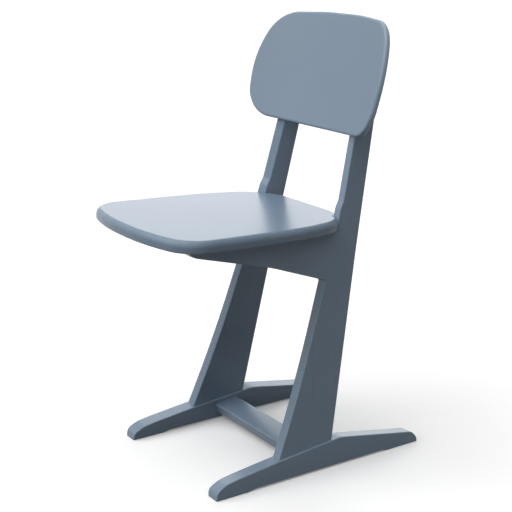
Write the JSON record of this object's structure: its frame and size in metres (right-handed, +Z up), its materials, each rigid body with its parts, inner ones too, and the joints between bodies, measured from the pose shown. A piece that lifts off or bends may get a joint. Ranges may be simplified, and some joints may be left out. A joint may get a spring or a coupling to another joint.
{
  "type": "sled base desk chair",
  "caption": "Painted wooden desk chair: leaning side frames cut from board stand on long runners tied by a stretcher and carry a rounded seat panel and a curved backrest.",
  "frame": {"origin": "on the floor, at the middle of the chair's width and depth", "axes": "+Z up, +X towards the sitter's left, +Y from the front of the seat to the backrest"},
  "size_m": [0.3696, 0.4974, 0.7533],
  "materials": {
    "frame_paint": "satin slate-blue paint on wood",
    "panel_paint": "satin slate-blue paint on moulded and rounded wood",
    "dowel_beech": "bare beech",
    "screw_steel": "zinc-plated"
  },
  "bodies": {
    "root": {"side_frame_left": "frame_paint", "side_frame_right": "frame_paint", "runner_left": "frame_paint", "runner_right": "frame_paint", "stretcher": "frame_paint", "seat_panel": "panel_paint", "backrest": "panel_paint", "runner_dowels_left": "dowel_beech", "runner_dowels_right": "dowel_beech", "runner_screws_left": "screw_steel", "runner_screws_right": "screw_steel", "stretcher_dowels_left": "dowel_beech", "stretcher_dowels_right": "dowel_beech", "seat_dowels_left": "dowel_beech", "seat_dowels_right": "dowel_beech", "seat_screws_left": "screw_steel", "seat_screws_right": "screw_steel", "backrest_screws_left": "screw_steel", "backrest_screws_right": "screw_steel", "backrest_plugs_left": "frame_paint", "backrest_plugs_right": "frame_paint"}
  },
  "joints": []
}
